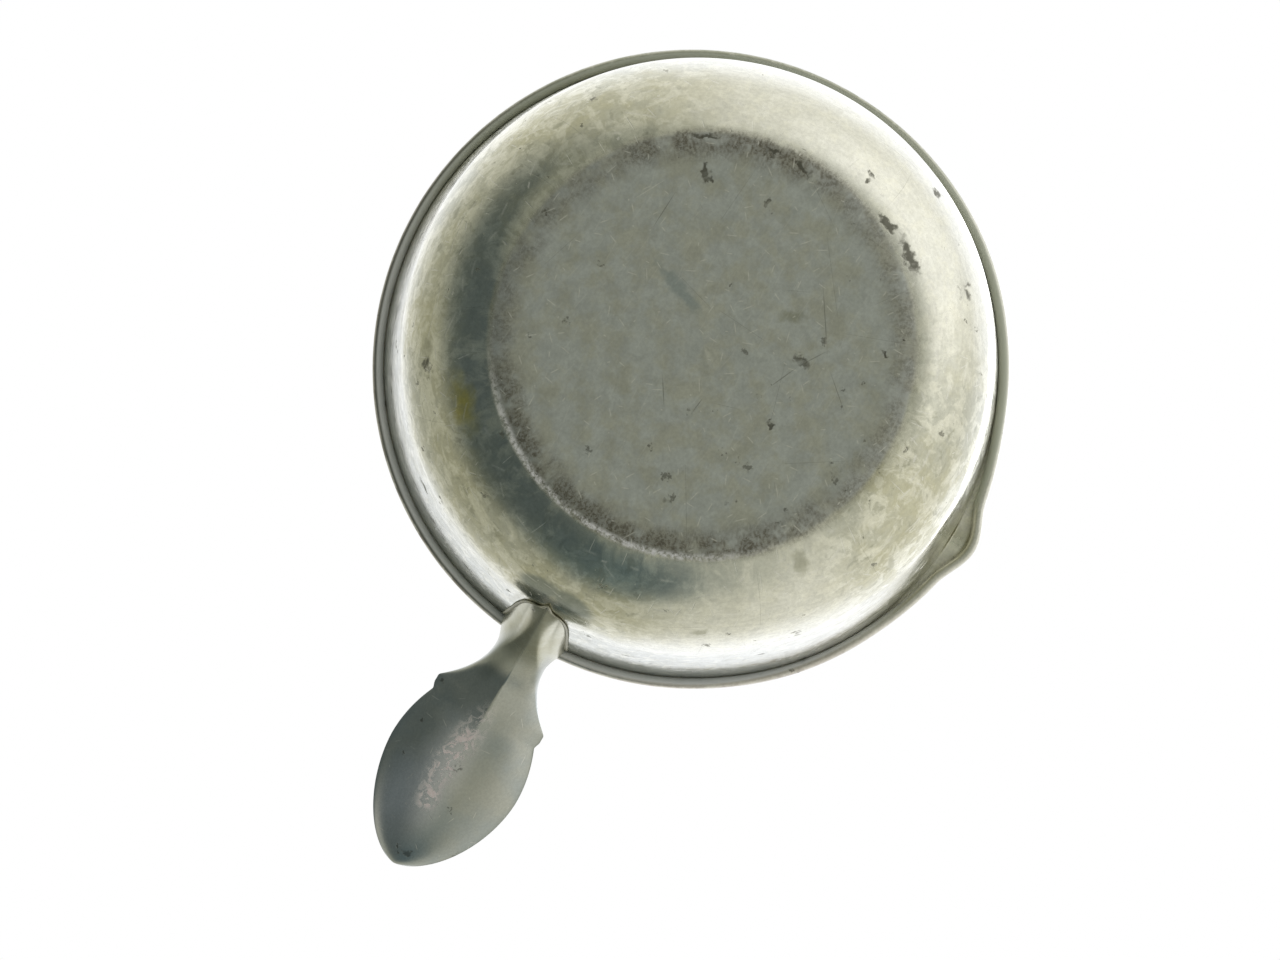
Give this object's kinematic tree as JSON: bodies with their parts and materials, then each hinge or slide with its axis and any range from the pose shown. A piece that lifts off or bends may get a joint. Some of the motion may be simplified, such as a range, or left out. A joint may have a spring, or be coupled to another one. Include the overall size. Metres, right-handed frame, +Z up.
{
  "type": "spouted pewter bowl",
  "caption": "Shallow round metal bowl with a drawn pouring lip, a wired rim and a flat spoon-shaped side handle soldered under the rim.",
  "frame": {"origin": "centre of the base, on the surface that the bowl stands on", "axes": "+Z up out of the bowl, +X along the handle, -Y towards the pouring lip"},
  "size_m": [0.1739, 0.127, 0.045],
  "materials": {
    "spun_pewter": "old spun pewter, softly polished, with oxide spots and fine scratches",
    "wire_pewter": "old pewter wire, worn smooth, with scratches along its outer edge",
    "cast_pewter": "cast pewter, smooth and hand-worn, with scuffs on the grip",
    "solder": "dull dark solder"
  },
  "bodies": {
    "root": {"bowl_body": "spun_pewter", "rim_wire": "wire_pewter", "handle": "cast_pewter", "handle_solder": "solder"}
  },
  "joints": []
}
